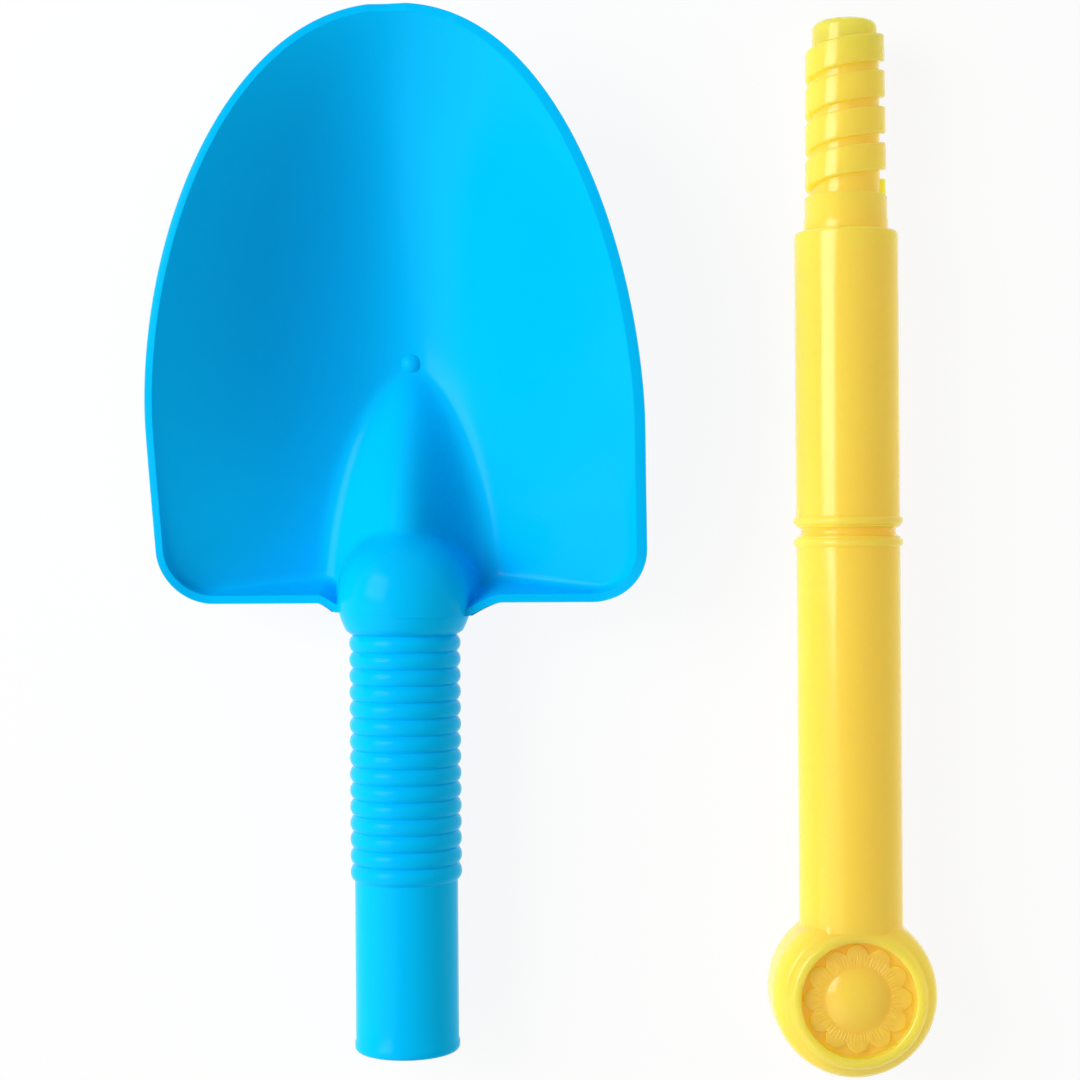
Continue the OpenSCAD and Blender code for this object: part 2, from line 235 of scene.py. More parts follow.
@dataclass(frozen=True)
class PlasticFinish:
    """One coloured moulded plastic.

    Attributes:
        name: Name of the material.
        colour: Base colour.
        deep: Base colour where the skin is cloudy.
        gloss: Least roughness.
        sheen_level: Strength of the reflections.
        grain: Strength of the fine grain.
        milky: Share of the light that spreads inside the plastic.
        light_depth: How far red, green and blue light spread, as shares of the scale.
        light_scale: That scale in millimetres.
        grain_depth: Height of the fine grain in millimetres.
    """

    name: str
    colour: tuple[float, float, float]
    deep: tuple[float, float, float]
    gloss: float
    sheen_level: float
    grain: float
    milky: float = 0.0
    light_depth: tuple[float, float, float] = (1.0, 1.0, 0.35)
    light_scale: float = 18.0
    grain_depth: float = 0.05

    def material(self, skin: bpy.types.NodeTree) -> bpy.types.Material:
        """Builds the material.

        Args:
            skin: Node group of the moulded skin's variation.

        Returns:
            The finished material.
        """
        made = bpy.data.materials.new(self.name)
        made.use_nodes = True
        tree = made.node_tree
        shader = tree.nodes["Principled BSDF"]
        where = tree.nodes.new("ShaderNodeTexCoord")
        skin_node = tree.nodes.new("ShaderNodeGroup")
        skin_node.node_tree = skin
        skin_node.inputs["Gloss"].default_value = self.gloss
        tint = tree.nodes.new("ShaderNodeMix")
        tint.data_type = "RGBA"
        tint.inputs["A"].default_value = (*self.colour, 1)
        tint.inputs["B"].default_value = (*self.deep, 1)
        bump = tree.nodes.new("ShaderNodeBump")
        bump.inputs["Strength"].default_value = self.grain
        bump.inputs["Distance"].default_value = self.grain_depth * MM
        shader.inputs["Specular IOR Level"].default_value = self.sheen_level
        shader.inputs["Subsurface Weight"].default_value = self.milky
        shader.inputs["Subsurface Radius"].default_value = self.light_depth
        shader.inputs["Subsurface Scale"].default_value = self.light_scale * MM
        link = tree.links.new
        link(where.outputs["Object"], skin_node.inputs["Place"])
        link(skin_node.outputs["Cloud"], tint.inputs["Factor"])
        link(tint.outputs["Result"], shader.inputs["Base Color"])
        link(skin_node.outputs["Roughness"], shader.inputs["Roughness"])
        link(skin_node.outputs["Grain"], bump.inputs["Height"])
        link(bump.outputs["Normal"], shader.inputs["Normal"])
        return made


@dataclass(frozen=True)
class MouldedSkin:
    """Slight unevenness of a moulded plastic skin: a cloud in its colour, smears in its gloss and a fine grain."""

    cloud_scale: float = 18.0
    cloud_low: float = 0.35
    cloud_high: float = 0.75
    smear_scale: float = 60.0
    smear_spread: float = 0.12
    grain_scale: float = 1400.0

    def group(self) -> bpy.types.NodeTree:
        """Builds the node group.

        Returns:
            A group that puts out a cloudy mask, a roughness and a fine grain.
        """
        tree = bpy.data.node_groups.new("moulded_skin", "ShaderNodeTree")
        face = tree.interface
        face.new_socket("Place", in_out="INPUT", socket_type="NodeSocketVector")
        face.new_socket("Gloss", in_out="INPUT", socket_type="NodeSocketFloat")
        for name in ("Cloud", "Roughness", "Grain"):
            face.new_socket(name, in_out="OUTPUT", socket_type="NodeSocketFloat")
        into = tree.nodes.new("NodeGroupInput")
        out = tree.nodes.new("NodeGroupOutput")
        link = tree.links.new

        def noise(scale: float, detail: float) -> bpy.types.Node:
            """One noise texture on the piece's own coordinates."""
            node = tree.nodes.new("ShaderNodeTexNoise")
            node.inputs["Scale"].default_value = scale
            node.inputs["Detail"].default_value = detail
            link(into.outputs["Place"], node.inputs["Vector"])
            return node

        cloud = noise(self.cloud_scale, detail=2.0)
        level = tree.nodes.new("ShaderNodeMapRange")
        level.inputs["From Min"].default_value = self.cloud_low
        level.inputs["From Max"].default_value = self.cloud_high
        link(cloud.outputs["Fac"], level.inputs["Value"])
        link(level.outputs["Result"], out.inputs["Cloud"])

        smear = noise(self.smear_scale, detail=3.0)
        spread = tree.nodes.new("ShaderNodeMath")
        spread.operation = "MULTIPLY_ADD"
        spread.inputs[1].default_value = self.smear_spread
        link(smear.outputs["Fac"], spread.inputs[0])
        link(into.outputs["Gloss"], spread.inputs[2])
        link(spread.outputs["Value"], out.inputs["Roughness"])

        fine = noise(self.grain_scale, detail=2.0)
        link(fine.outputs["Fac"], out.inputs["Grain"])
        return tree


@dataclass
class Scoop:
    """Blue moulding: dished blade, frog, shoulder ball and ribbed socket. Sizes in millimetres."""

    # Blade: outline, rim and bowl
    blade_len: float = 167.8
    blade_w: float = 140.5
    taper_len: float = 116.0
    taper_power: float = 1.75
    tip_blunt: float = 2.15
    corner_r: float = 13.0
    blade_wall: float = 2.4
    rim_round: float = 0.25
    rim_steps: int = 4
    lip_w: float = 2.1
    lip_more: float = 0.85
    lip_heel: float = 0.3
    rim_heel: float = 4.0
    rim_tip: float = 25.5
    rim_arch: float = 14.5
    floor_len: float = 59.0
    valley_r: float = 25.0
    heel_slope: float = 78.0
    heel_soft: float = 5.0
    wall_fade: float = 0.25
    heel_turn: Point = (0.06, 0.998)
    outline_step: float = 0.1
    # Frog and dot
    frog_len: float = 67.0
    frog_w: float = 60.0
    frog_top: float = 14.0
    frog_power: float = 1.5
    frog_blunt: float = 2.0
    frog_foot: float = 3.0
    dot_d: float = 6.0
    dot_h: float = 1.4
    dot_gap: float = 2.5
    dot_root: float = 1.2
    # Shoulder ball, and the web between it and the heel edge
    ball_d: float = 39.2
    ball_set: float = 1.35
    ball_crisp: float = 0.05
    ball_soft: float = 5.0
    ball_soft_from: float = 1.0
    ball_soft_run: float = 10.0
    ball_sink: float = 0.25
    ball_sink_from: float = -4.0
    ball_sink_run: float = 18.0
    ball_draft: float = 80.0
    web_w: float = 26.6
    web_d: float = 3.3
    web_skew: float = 0.6
    web_spread: float = 3.5
    web_power: float = 1.4
    web_reach: float = 20.0
    # Socket: tube, grip ribs and mouth
    tube_d: float = 30.0
    tube_len: float = 131.7
    tube_rings: int = 6
    rib_count: int = 15
    rib_pitch: float = 4.74
    rib_d: float = 32.5
    rib_r: float = 3.2
    rib_set: float = 11.0
    mouth_d: float = 30.6
    mouth_len: float = 3.2
    mouth_r: float = 1.3
    mouth_fall: float = 0.6
    # Bore and the screw rib in it
    mouth_bore_d: float = 24.7
    lead_in: float = 12.0
    bore_d: float = 24.2
    bore_len: float = 62.9
    core_d: float = 22.0
    screw_pitch: float = 10.55
    screw_rib_w: float = 1.9
    screw_rib_d: float = 20.4
    screw_rib_r: float = 0.4
    screw_rib_start: float = 13.9
    screw_rib_turns: float = 3.0
    groove_set: float = 17.1
    # Place of the ball's centre, and the mesh
    roll: float = 4.5
    at: tuple[float, float, float] = (-41.0598, -13.3, 19.6)
    rows: int = 165
    cols: int = 180
    crowd: float = 0.3
    tip_gap: float = 0.25
    segments: int = 112

    def __post_init__(self) -> None:
        """Works out the sizes that follow from the others."""
        self.heel_y = -self.ball_set
        self.half_w = self.blade_w / 2 - self.lip_w
        self.front_y = self.blade_len - self.ball_set - self.lip_w
        self.back_y = self.heel_y + self.lip_w
        self.floor_low = self.blade_wall - self.ball_d / 2

    def open_half(self, y: float) -> float:
        """Half width of the outline before its heel corners are rounded."""
        s = clamp((self.taper_len - (self.front_y - y)) / self.taper_len)
        return self.half_w * max(0.0, 1 - s ** self.taper_power) ** (1 / self.tip_blunt)

    def outline_half(self, y: float) -> float:
        """Half width of the outline with its heel corners rounded."""
        d = max(0.0, self.corner_r - (y - self.back_y))
        return self.open_half(y) - self.corner_r + math.sqrt(max(0.0, self.corner_r ** 2 - d * d))

    def rim_z(self, y: float) -> float:
        """Height of the rim over the socket's axis."""
        t = (y - self.heel_y) / self.blade_len
        return self.rim_heel * (1 - t) + self.rim_tip * t + 4 * self.rim_arch * t * (1 - t)

    def floor_z(self, y: float) -> float:
        """Height of the bowl's lowest line."""
        t = max(0.0, (y - self.heel_y - self.floor_len) / (self.front_y - self.heel_y - self.floor_len))
        return self.floor_low + (self.rim_z(self.front_y) - self.floor_low) * t * t

    def valley(self, x: float) -> float:
        """Rise of the rounded valley at a distance from its middle."""
        return math.hypot(x, self.valley_r) - self.valley_r

    def edge_gap(self, x: float, y: float) -> float:
        """Distance in from the outline near the heel."""
        cx = abs(x) - self.half_w + self.corner_r
        cy = self.back_y + self.corner_r - y
        if cx > 0 and cy > 0:
            return self.corner_r - math.hypot(cx, cy)
        return min(y - self.back_y, self.open_half(y) - abs(x))

    def frog_rise(self, x: float, y: float) -> float:
        """Rise over the floor of the ridge that runs down from the ball."""
        t = clamp(y / self.frog_len)
        half = self.frog_w / 2 * math.sqrt(1 - t ** self.frog_blunt)
        u = min(1.0, abs(x) / max(half, self.tip_gap))
        crest = (self.frog_top - self.floor_low) * (1 - t ** self.frog_power)
        return crest * (1 - u * u) ** self.frog_foot

    def ball_z(self, x: float, y: float) -> float:
        """Height of the shoulder ball, which falls on as a steep skirt near its widest line."""
        sink = self.ball_sink * (1 - 2 * smooth_step((y - self.ball_sink_from) / self.ball_sink_run))
        radius = self.ball_d / 2 - sink
        out, turn = math.hypot(x, y), math.radians(self.ball_draft)
        skirt = radius * math.sin(turn)
        if out < skirt:
            return math.sqrt(radius ** 2 - out ** 2)
        return radius * math.cos(turn) - (out - skirt) * math.tan(turn)

    def web(self, x: float, y: float) -> float:
        """How far the web draws the heel edge back along the ball."""
        skew = math.copysign(self.web_skew, x)
        width = self.web_w + self.web_spread * skew
        u = clamp((width - abs(x)) / (width - self.ball_d / 2))
        v = max(0.0, 1 - (y - self.back_y) / self.web_reach)
        return (self.web_d + skew) * u ** self.web_power * v * v

    def top_z(self, x: float, y: float) -> float:
        """Height of the blade's upper surface, with a soft corner round the ball."""
        low = self.floor_z(y)
        half = max(self.open_half(y), self.tip_gap)
        bowl = low + (self.rim_z(y) - low) * self.valley(x) / self.valley(half)
        heel = (self.rim_z(y) - self.edge_gap(x, y) * math.tan(math.radians(self.heel_slope))
                - max(0.0, y - self.back_y - self.corner_r) * self.wall_fade)
        top = smooth_max(bowl + self.frog_rise(x, y), heel, self.heel_soft)
        soft = self.ball_crisp + self.ball_soft * smooth_step((y - self.ball_soft_from) / self.ball_soft_run)
        return round_max(top, self.ball_z(x, y - self.web(x, y)), soft)

    def edge_way(self, u: float, v: float, y: float) -> Point:
        """Which way is out of the blade, seen from above, at its edge.

        Args:
            u: Place across the blade from -1 to 1.
            v: Place along the blade from 0 at the heel to 1 at the tip.
            y: Distance from the ball's centre.

        Returns:
            A unit vector as x and y.
        """
        if v < 1 - ON_EDGE:
            side, back = self.heel_turn
            return (math.copysign(side, u), -back) if abs(u) > ON_EDGE else (0.0, -1.0)
        step = self.outline_step
        y = clamp(y, self.back_y + step, self.front_y - self.tip_gap - step)
        lean = (self.outline_half(y + step) - self.outline_half(y - step)) / (2 * step)
        x_way, y_way = u / math.hypot(1, lean), -lean / math.hypot(1, lean)
        size = math.hypot(x_way, y_way)
        return x_way / size, y_way / size

    def skin(self, u: float, v: float) -> Vector:
        """Point of the blade's upper surface, whose last ring is drawn out flat as the rim's lip.

        Args:
            u: Place across the blade from -1 to 1.
            v: Place along the blade from 0 at the heel to 1 at the tip.

        Returns:
            The point in metres.
        """
        across = clamp(u / (1 - 2 / self.cols), -1, 1)
        along = clamp((v - 1 / self.rows) / (1 - 2 / self.rows))
        y = self.back_y + (self.front_y - self.tip_gap - self.back_y) * (1 - math.cos(math.pi * along)) / 2
        x = self.outline_half(y) * (across * (1 - self.crowd) + self.crowd * across ** 3)
        z = self.top_z(x, y)
        draw = self.web(x, y)
        if max(abs(u), abs(2 * v - 1)) > ON_EDGE:
            way = self.edge_way(u, v, y)
            reach = self.lip_w + max(0.0, self.lip_more * way[0], -self.lip_heel * self.lip_more * way[1])
            x, y = x + way[0] * reach, y + way[1] * reach
        return self.rolled(x, y - draw, z)

    def rolled(self, x: float, y: float, z: float) -> Vector:
        """A point of the blade, turned as the scoop lies and put in its place, in metres."""
        turn = math.radians(self.roll)
        return Vector((x * math.cos(turn) - z * math.sin(turn) + self.at[0], y + self.at[1],
                       x * math.sin(turn) + z * math.cos(turn) + self.at[2])) * MM

    def blade(self) -> bpy.types.Object:
        """Shapes the dished blade from a grid and gives it its wall and round rim.

        Returns:
            The blade as a closed shell.
        """
        deselect()
        bpy.ops.mesh.primitive_grid_add(x_subdivisions=self.cols, y_subdivisions=self.rows, size=2)
        piece = bpy.context.object
        piece.name = "scoop_shell"
        for vertex in piece.data.vertices:
            vertex.co = self.skin(vertex.co.x, (vertex.co.y + 1) / 2)
        bpy.ops.object.mode_set(mode="EDIT")
        bpy.ops.mesh.select_mode(type="EDGE")
        bpy.ops.mesh.select_all(action="DESELECT")
        bpy.ops.mesh.select_non_manifold(extend=False)
        bpy.ops.transform.edge_bevelweight(value=1.0)
        bpy.ops.mesh.select_mode(type="VERT")
        bpy.ops.object.mode_set(mode="OBJECT")
        wall = piece.modifiers.new("wall", "SOLIDIFY")
        wall.thickness = self.blade_wall * MM
        wall.offset = -1
        rim = piece.modifiers.new("rim", "BEVEL")
        rim.width = self.rim_round * self.blade_wall * MM
        rim.segments = self.rim_steps
        rim.limit_method = "WEIGHT"
        pick(piece)
        bpy.ops.object.modifier_apply(modifier=wall.name)
        bpy.ops.object.modifier_apply(modifier=rim.name)
        return piece

    def dot(self) -> bpy.types.Object:
        """The low round dot on the floor before the frog's tip."""
        y = self.frog_len + self.dot_gap
        radius = (self.dot_d ** 2 / 4 + self.dot_h ** 2) / (2 * self.dot_h)
        edge = math.degrees(math.asin(self.dot_d / 2 / radius))
        cap = arc((0, self.dot_h - radius), radius, 90, 90 - edge, steps=10)
        piece = spin("dot", cap + [(self.dot_d / 2, -self.dot_root), (0, -self.dot_root)], steps=48)
        turn = Matrix.Rotation(math.radians(-self.roll), 4, "Y") @ Matrix.Rotation(math.radians(90), 4, "X")
        settle(piece, Matrix.Translation(self.rolled(0, y, self.top_z(0, y))) @ turn)
        return piece

    def socket(self) -> bpy.types.Object:
        """The turned body of mouth, tube, grip ribs and shoulder ball, with its bore."""
        outer, length = self.tube_d / 2, self.tube_len
        mouth, core, bore = self.mouth_d / 2, self.core_d / 2, self.bore_d / 2
        points = arc((0, length), core, 90, 0, steps=12)
        points += [(core, self.bore_len), (bore, self.bore_len), (bore, self.lead_in)]
        points += [(self.mouth_bore_d / 2, self.lead_in), (self.mouth_bore_d / 2, 0.0)]
        points += arc((mouth - self.mouth_r, self.mouth_r), self.mouth_r, -90, 0, steps=6)
        points += [(mouth, self.mouth_len - self.mouth_fall), (outer, self.mouth_len)]
        first = length - self.rib_set - (self.rib_count - 0.5) * self.rib_pitch
        centre = self.rib_d / 2 - self.rib_r
        low = math.degrees(math.acos((outer - centre) / self.rib_r))
        half = math.degrees(math.asin(self.rib_pitch / 2 / self.rib_r))
        tube_top = first - self.rib_r * math.sin(math.radians(low))
        rise = (tube_top - self.mouth_len) / self.tube_rings
        points += [(outer, self.mouth_len + rise * k) for k in range(1, self.tube_rings)]
        for k in range(self.rib_count):
            start = -low if k == 0 else -half
            rib = arc((centre, first + k * self.rib_pitch), self.rib_r, start, half, steps=8)
            points += rib if k == 0 else rib[1:]
        ball = self.ball_d / 2
        meet = math.degrees(math.asin((points[-1][1] - length) / ball))
        points += arc((0, length), ball, meet, 90, steps=30)[1:]
        piece = spin("socket", points, self.segments)
        settle(piece, self.tube_place())
        return piece

    def screw_rib(self) -> bpy.types.Object:
        """The helical rib in the bore that runs in the handle's groove."""
        inner, outer = self.screw_rib_d / 2, self.bore_d / 2 + ROOT_IN
        half, soft = self.screw_rib_w / 2, self.screw_rib_r
        profile = [(outer, -half), (inner + soft, -half)]
        profile += arc((inner + soft, -half + soft), soft, 270, 180, steps=3)[1:]
        profile += arc((inner + soft, half - soft), soft, 180, 90, steps=3)
        profile += [(outer, half)]
        piece = helix("screw_rib", profile, self.screw_pitch, self.screw_rib_turns, steps=48)
        start = 2 * math.pi * (self.screw_rib_start - self.groove_set) / self.screw_pitch
        settle(piece, self.tube_place() @ Matrix.Translation((0, self.screw_rib_start * MM, 0))
               @ Matrix.Rotation(start, 4, "Y"))
        return piece

    def tube_place(self) -> Matrix:
        """Where the middle of the socket's mouth lies."""
        return Matrix.Translation(Vector((self.at[0], self.at[1] - self.tube_len, self.at[2])) * MM)

    def build(self, finish: bpy.types.Material) -> bpy.types.Object:
        """Makes the moulding, dresses it and lets it stand for the solid.

        Args:
            finish: The blue plastic.

        Returns:
            The finished piece.
        """
        piece = self.blade()
        fuse(piece, Fuse.ADD, [self.dot(), self.socket(), self.screw_rib()])
        smooth(piece, SMOOTH_ANGLE)
        piece.data.materials.clear()
        piece.data.materials.append(finish)
        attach(piece, "scoop")
        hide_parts("scoop")
        return piece


@dataclass
class Handle:
    """Yellow moulding: screw spigot, shaft with ring beads and round knob. Sizes in millimetres."""

    # Spigot: nose, screw and collar
    spigot_len: float = 61.5
    nose_d: float = 18.8
    nose_r: float = 2.0
    nose_deep: float = 10.0
    root_d: float = 19.8
    crest_tip_d: float = 22.9
    crest_end_d: float = 23.9
    crest_r: float = 0.6
    collar_d: float = 24.2
    collar_len: float = 10.5
    collar_step: float = 0.1
    collar_wide: float = 3.5
    soft_edge: float = 0.4
    screw_pitch: float = 10.55
    screw_turns: float = 4.1
    groove_w: float = 2.5
    groove_set: float = 17.1
    # Shaft and ring beads
    shaft_d: float = 30.2
    shaft_len: float = 222.0
    shoulder_r: float = 1.1
    shaft_wall: float = 2.5
    shaft_stop: float = 6.0
    lower_rings: int = 8
    upper_rings: int = 5
    bead_set: float = 87.6
    bead_gap: float = 6.3
    bead_d: float = 31.9
    bead_r: float = 1.5
    bead_root_d: float = 27.4
    bead_root_span: float = 88.0
    # Knob, with a ring and a recess on each face
    knob_d: float = 48.0
    knob_t: float = 28.4
    knob_r: float = 10.0
    knob_full: float = 2.5
    knob_steps: int = 16
    ring_d: float = 35.6
    ring_r: float = 1.9
    ring_h: float = 1.2
    ring_end: float = 30.0
    ring_gap: float = 0.9
    recess_h: float = 2.6
    recess_d: float = 33.32
    recess_r: float = 0.5
    recess_mid: float = 0.15
    # Rosette: petals, domed middle and flutes
    petal_count: int = 12
    petal_d: float = 31.4
    petal_notch: float = 0.18
    petal_power: float = 2.1
    petal_h: float = 1.1
    petal_edge: float = 0.35
    petal_rings: int = 12
    dome_d: float = 19.0
    dome_h: float = 2.7
    dome_gap: float = 0.25
    flutes_per_petal: int = 6
    flute_steps: int = 8
    flute_h: float = 0.22
    flute_end: float = 13.1
    flute_in: float = 0.4
    flute_out: float = 0.6
    # Place of the shoulder's middle, and the mesh
    at: tuple[float, float, float] = (88.9402, 92.4, 15.95)
    segments: int = 128

    def shaft(self) -> bpy.types.Object:
        """The turned body of nose, screw core, collar, shaft and ring beads."""
        outer = self.shaft_d / 2
        spigot_hollow = self.root_d / 2 - self.shaft_wall
        nose, end = self.nose_d / 2, self.spigot_len
        stop = -self.shaft_len + self.shaft_stop
        points = [(0, stop), (outer, stop)]
        bead = self.bead_d / 2 - self.bead_r
        root = (self.shaft_d - self.bead_root_d) / 2
        rise = math.degrees(math.acos((outer - bead) / self.bead_r))
        rise_low = (-self.bead_set - stop) / self.lower_rings
        points += [(outer, stop + rise_low * k) for k in range(1, self.lower_rings)]
        low, high = -self.bead_set - self.bead_gap / 2, -self.bead_set + self.bead_gap / 2
        points += arc((bead, low), self.bead_r, -rise, rise, steps=12)
        points += arc((outer, -self.bead_set), root, 180 + self.bead_root_span, 180 - self.bead_root_span, steps=14)
        points += arc((bead, high), self.bead_r, -rise, rise, steps=12)
        rise_high = (-self.shoulder_r - high) / self.upper_rings
        points += [(outer, high + rise_high * k) for k in range(1, self.upper_rings)]
        points += arc((outer - self.shoulder_r, -self.shoulder_r), self.shoulder_r, 0, 90, steps=6)
        collar, soft = self.collar_d / 2, self.soft_edge
        wide, slim = collar + self.collar_step, collar - self.collar_step
        points += [(collar + soft, 0), (wide, soft - self.collar_step), (wide, self.collar_wide)]
        points += [(slim, self.collar_wide + soft), (slim, self.collar_len - soft)]
        points += [(collar - soft, self.collar_len), (self.root_d / 2, self.collar_len)]
        points += [(self.root_d / 2, end - self.screw_pitch), (nose, end - self.screw_pitch + soft)]
        points += arc((nose - self.nose_r, end - self.nose_r), self.nose_r, 0, 90, steps=8)
        deep = end - self.nose_deep
        points += [(spigot_hollow + soft, end), (spigot_hollow, end - soft), (spigot_hollow, deep), (0, deep)]
        return spin("shaft", points, self.segments)

    def screw(self) -> bpy.types.Object:
        """The wide raised band of the right-hand screw with its rounded corners."""
        width = self.screw_pitch - self.groove_w
        inner, outer, soft = self.root_d / 2 - ROOT_IN, self.crest_end_d / 2, self.crest_r
        profile = [(inner, -width / 2)]
        profile += arc((outer - soft, -width / 2 + soft), soft, -90, 0, steps=4)
        profile += arc((outer - soft, width / 2 - soft), soft, 0, 90, steps=4)
        profile += [(inner, width / 2)]
        piece = helix("screw", profile, self.screw_pitch, self.screw_turns, steps=64)
        base = self.groove_set - self.screw_pitch / 2
        fall = (self.crest_end_d - self.crest_tip_d) / 2 / self.spigot_len
        for vertex in piece.data.vertices:
            radius = math.hypot(vertex.co.x, vertex.co.z)
            share = (radius / MM - inner) / (outer - inner)
            less = share * fall * (vertex.co.y / MM + base) * MM
            vertex.co.x *= 1 - less / radius
            vertex.co.z *= 1 - less / radius
        settle(piece, Matrix.Translation((0, base * MM, 0)))
        return piece

    def knob(self) -> bpy.types.Object:
        """The round knob on edge, with a raised ring on each face."""
        half, flat = self.knob_t / 2, self.knob_d / 2 - self.knob_r
        ring, middle = self.ring_d / 2, half + self.ring_h - self.ring_r
        side = [(0, half)]
        foot = 180 - math.degrees(math.asin((half - middle) / self.ring_r))
        side += arc((ring, middle), self.ring_r, foot, self.ring_end, steps=14)
        edge, full = half - self.knob_r, 2 / self.knob_full
        meet = math.acos(((side[-1][0] + self.ring_gap - flat) / self.knob_r) ** (1 / full))
        for k in range(self.knob_steps + 1):
            turn = meet * (1 - k / self.knob_steps)
            side.append((flat + self.knob_r * math.cos(turn) ** full,
                         edge + self.knob_r * math.sin(turn) ** full))
        points = side + [(r, -z) for r, z in reversed(side)]
        piece = spin("knob", points, self.segments)
        turn = Matrix.Rotation(math.radians(90), 4, "X")
        settle(piece, Matrix.Translation((0, -self.shaft_len * MM, 0)) @ turn)
        return piece

    def recess(self, face: Face) -> bpy.types.Object:
        """The body that cuts the recess inside the ring of one face."""
        floor, wall, top = self.knob_t / 2 - self.recess_h, self.recess_d / 2, self.knob_t
        soft, mid = self.recess_r, self.recess_mid
        points = [(0, floor), (wall - soft, floor), (wall - mid, floor + mid), (wall, floor + soft)]
        points += [(wall, top), (0, top)]
        piece = spin("recess", points, self.segments)
        turn = Matrix.Rotation(math.radians(90 * face.value), 4, "X")
        settle(piece, Matrix.Translation((0, -self.shaft_len * MM, 0)) @ turn)
        return piece

    def petal_half(self, angle: float) -> float:
        """Distance from the rosette's middle to the edge of its petals at an angle from a petal's middle."""
        share = min(1.0, abs(angle) * self.petal_count / math.pi)
        return self.petal_d / 2 * (1 - self.petal_notch * share ** self.petal_power)

    def rosettes(self) -> list[bpy.types.Object]:
        """The rosettes of both faces: domed middle, fine flutes and petals.

        Returns:
            The two rosettes, rooted in the floor of their recess.
        """
        dome = self.dome_d / 2
        ball = (dome ** 2 + self.dome_h ** 2) / (2 * self.dome_h)
        edge = math.degrees(math.asin(dome / ball))
        tip, step = self.petal_d / 2, self.petal_edge
        points = arc((0, self.petal_h + self.dome_h - ball), ball, 90, 90 - edge, steps=12)
        inner = dome + self.dome_gap
        ring = (tip - step - inner) / self.petal_rings
        points += [(inner + ring * k, self.petal_h) for k in range(self.petal_rings + 1)]
        points += arc((tip - step, self.petal_h - step), step, 60, 0, steps=3)
        points += [(tip, -ROOT_IN), (0, -ROOT_IN)]
        count = self.petal_count * self.flutes_per_petal
        front = spin("rosette_front", points, count * self.flute_steps)
        share = 2 * math.pi / self.petal_count
        for vertex in front.data.vertices:
            r, angle = math.hypot(vertex.co.x, vertex.co.z) / MM, math.atan2(vertex.co.z, vertex.co.x)
            if r <= inner + NEAR:
                continue
            off = (angle - math.pi / 2 + share / 2) % share - share / 2
            reach = inner + (r - inner) * (self.petal_half(off) - inner) / (tip - inner)
            vertex.co.x *= reach / r
            vertex.co.z *= reach / r
            if abs(vertex.co.y / MM - self.petal_h) < NEAR:
                fade = clamp((reach - inner) / self.flute_in) * clamp((self.flute_end - reach) / self.flute_out)
                vertex.co.y += self.flute_h * fade * max(0.0, math.cos(count * angle)) * MM
        back = front.copy()
        back.data = front.data.copy()
        back.name = "rosette_back"
        bpy.context.scene.collection.objects.link(back)
        lift = self.knob_t / 2 - self.recess_h
        for piece, face in ((front, Face.FRONT), (back, Face.BACK)):
            place = Vector((0, -self.shaft_len, face.value * lift)) * MM
            settle(piece, Matrix.Translation(place) @ Matrix.Rotation(math.radians(90 * face.value), 4, "X"))
        return [front, back]

    def build(self, finish: bpy.types.Material) -> bpy.types.Object:
        """Makes the moulding, dresses it and lets it stand for the solid.

        Args:
            finish: The yellow plastic.

        Returns:
            The finished piece.
        """
        piece = self.shaft()
        piece.name = "handle_stick"
        fuse(piece, Fuse.ADD, [self.screw(), self.knob()])
        fuse(piece, Fuse.CUT, [self.recess(face) for face in Face])
        fuse(piece, Fuse.ADD, self.rosettes())
        settle(piece, Matrix.Translation(Vector(self.at) * MM))
        smooth(piece, SMOOTH_ANGLE)
        piece.data.materials.clear()
        piece.data.materials.append(finish)
        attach(piece, "handle")
        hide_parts("handle")
        return piece


@dataclass(frozen=True)
class Lamp:
    """One soft square lamp that looks at the origin.

    Attributes:
        name: Name of the lamp.
        way: Which way it lies from the origin.
        far: How far it lies in metres.
        size: Length of its side in metres.
        power: Its power in watts.
        mirrored: Whether reflections show it.
    """

    name: str
    way: tuple[float, float, float]
    far: float
    size: float
    power: float
    mirrored: bool = True

    def hang(self) -> None:
        """Puts the lamp into the scene."""
        data = bpy.data.lights.new(self.name, "AREA")
        data.shape = "SQUARE"
        data.size = self.size
        data.energy = self.power
        lamp = bpy.data.objects.new(self.name, data)
        way = Vector(self.way).normalized()
        lamp.location = way * self.far
        lamp.rotation_euler = way.to_track_quat("Z", "Y").to_euler()
        lamp.visible_glossy = self.mirrored
        bpy.context.scene.collection.objects.link(lamp)


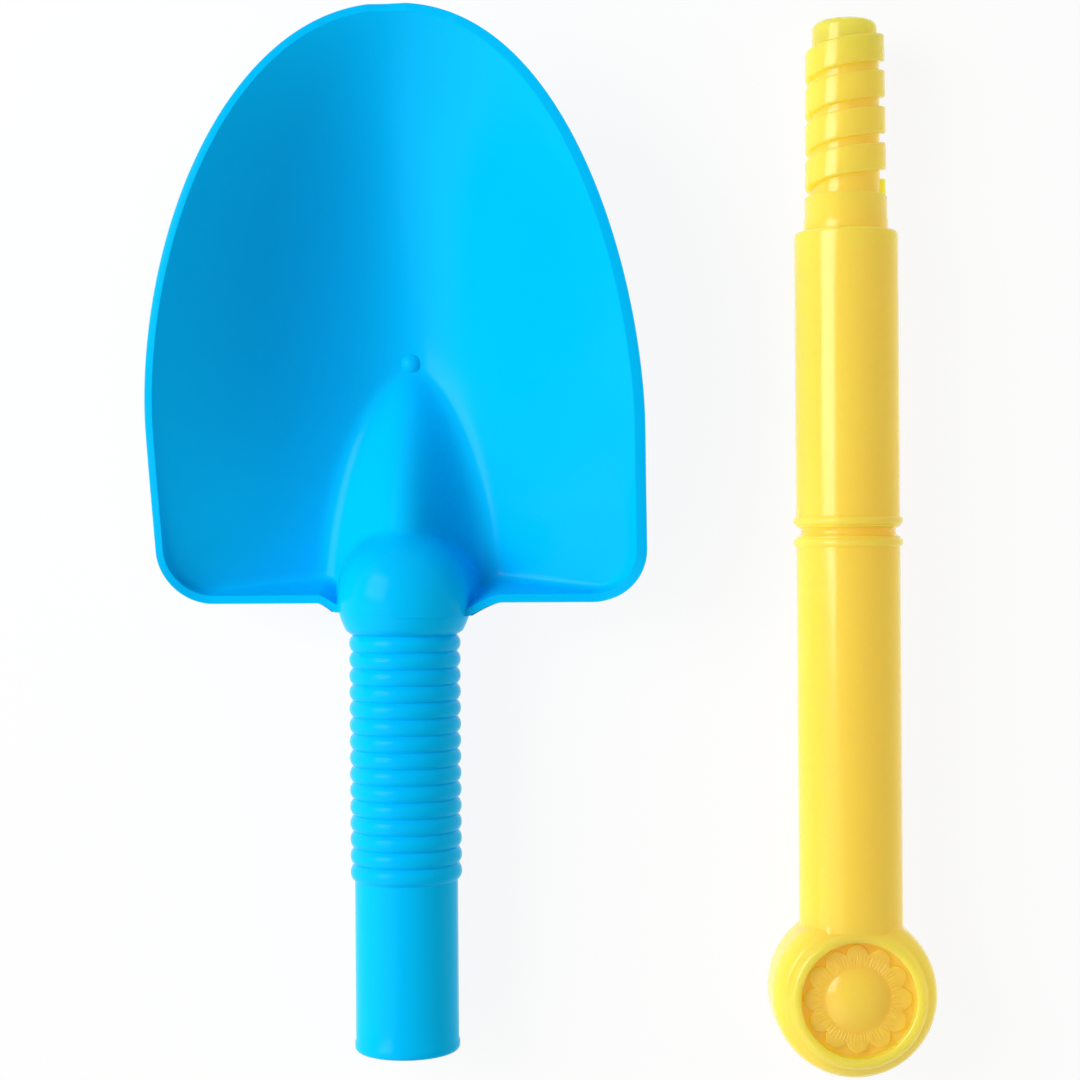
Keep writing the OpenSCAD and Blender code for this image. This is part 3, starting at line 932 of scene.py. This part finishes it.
@dataclass
class Studio:
    """Pale floor, soft light, most of it from the left, and a camera that looks straight down. Sizes in metres."""

    camera_at: tuple[float, float, float] = (-0.00145, 0.003, 0.617)
    camera_roll: float = -0.42
    lens: float = 68.3
    sensor: float = 36.0
    near_clip: float = 0.01
    floor_size: float = 6.0
    floor_grey: float = 0.9
    floor_white: float = 0.9
    floor_bounce: float = 0.8
    floor_glow: float = 1.25
    lamps: tuple[Lamp, ...] = (
        Lamp("softbox", (-0.72, 0.25, 0.68), 1.3, 0.75, 14.2),
        Lamp("low_softbox", (-0.62, -0.52, 0.60), 1.3, 1.4, 6.0),
        Lamp("right_fill", (1.0, 0.0, 0.16), 1.5, 0.45, 6.0, False),
    )
    ambient: float = 0.24

    def camera(self) -> None:
        """Sets the camera over the two parts."""
        data = bpy.data.cameras.new("view_from_above")
        data.lens = self.lens
        data.sensor_width = self.sensor
        data.clip_start = self.near_clip
        camera = bpy.data.objects.new("view_from_above", data)
        camera.location = self.camera_at
        camera.rotation_euler = (0, 0, math.radians(self.camera_roll))
        bpy.context.scene.collection.objects.link(camera)
        bpy.context.scene.camera = camera

    def seen_white(self, tree: bpy.types.NodeTree) -> bpy.types.NodeSocket:
        """Adds the test for rays that should see a white background, as a value of 0 or 1."""
        path = tree.nodes.new("ShaderNodeLightPath")
        seen = path.outputs["Is Camera Ray"]
        for name in ("Is Glossy Ray", "Is Transmission Ray"):
            either = tree.nodes.new("ShaderNodeMath")
            either.operation = "MAXIMUM"
            tree.links.new(seen, either.inputs[0])
            tree.links.new(path.outputs[name], either.inputs[1])
            seen = either.outputs["Value"]
        return seen

    def floor(self) -> None:
        """Lays the pale floor, which keeps a faint shadow."""
        deselect()
        bpy.ops.mesh.primitive_plane_add(size=self.floor_size)
        plane = bpy.context.object
        plane.name = "floor"
        made = bpy.data.materials.new("floor_white")
        made.use_nodes = True
        tree = made.node_tree
        tree.nodes.clear()
        out = tree.nodes.new("ShaderNodeOutputMaterial")
        diffuse = tree.nodes.new("ShaderNodeBsdfDiffuse")
        diffuse.inputs["Color"].default_value = (self.floor_grey, self.floor_grey, self.floor_grey, 1)
        glow = tree.nodes.new("ShaderNodeEmission")
        mix = tree.nodes.new("ShaderNodeMixShader")
        share = tree.nodes.new("ShaderNodeMapRange")
        share.inputs["To Min"].default_value = self.floor_bounce
        share.inputs["To Max"].default_value = self.floor_white
        bright = tree.nodes.new("ShaderNodeMapRange")
        bright.inputs["To Min"].default_value = self.floor_glow
        bright.inputs["To Max"].default_value = 1.0
        link, seen = tree.links.new, self.seen_white(tree)
        link(seen, share.inputs["Value"])
        link(seen, bright.inputs["Value"])
        link(bright.outputs["Result"], glow.inputs["Strength"])
        link(share.outputs["Result"], mix.inputs["Fac"])
        link(diffuse.outputs["BSDF"], mix.inputs[1])
        link(glow.outputs["Emission"], mix.inputs[2])
        link(mix.outputs["Shader"], out.inputs["Surface"])
        plane.data.materials.append(made)

    def light(self) -> None:
        """Hangs the soft lamps and sets the even light all round."""
        for lamp in self.lamps:
            lamp.hang()
        world = bpy.data.worlds.new("even_light")
        bpy.context.scene.world = world
        world.use_nodes = True
        tree = world.node_tree
        back = tree.nodes["Background"]
        strength = tree.nodes.new("ShaderNodeMapRange")
        strength.inputs["To Min"].default_value = self.ambient
        strength.inputs["To Max"].default_value = 1.0
        back.inputs["Color"].default_value = (1, 1, 1, 1)
        tree.links.new(self.seen_white(tree), strength.inputs["Value"])
        tree.links.new(strength.outputs["Result"], back.inputs["Strength"])

    def build(self) -> None:
        """Sets up the whole studio."""
        self.camera()
        self.floor()
        self.light()
        bpy.context.scene.view_settings.view_transform = "Standard"


def main() -> None:
    """Builds the two mouldings and the studio."""
    logging.basicConfig(level=logging.INFO, format="%(name)s: %(message)s")
    skin = MouldedSkin().group()
    blue = PlasticFinish("sky_blue_plastic", colour=(0.0, 0.51, 0.95), deep=(0.0, 0.49, 0.93),
                         gloss=0.1, sheen_level=0.035, grain=0.25)
    yellow = PlasticFinish("warm_yellow_plastic", colour=(0.93, 0.685, 0.075), deep=(0.92, 0.665, 0.07),
                           gloss=0.1, sheen_level=0.3, grain=0.25, milky=1.0)
    for piece in (Scoop().build(blue.material(skin)), Handle().build(yellow.material(skin))):
        log.info("%s: %d faces", piece.name, len(piece.data.polygons))
    Studio().build()


if __name__ == "__main__":
    main()
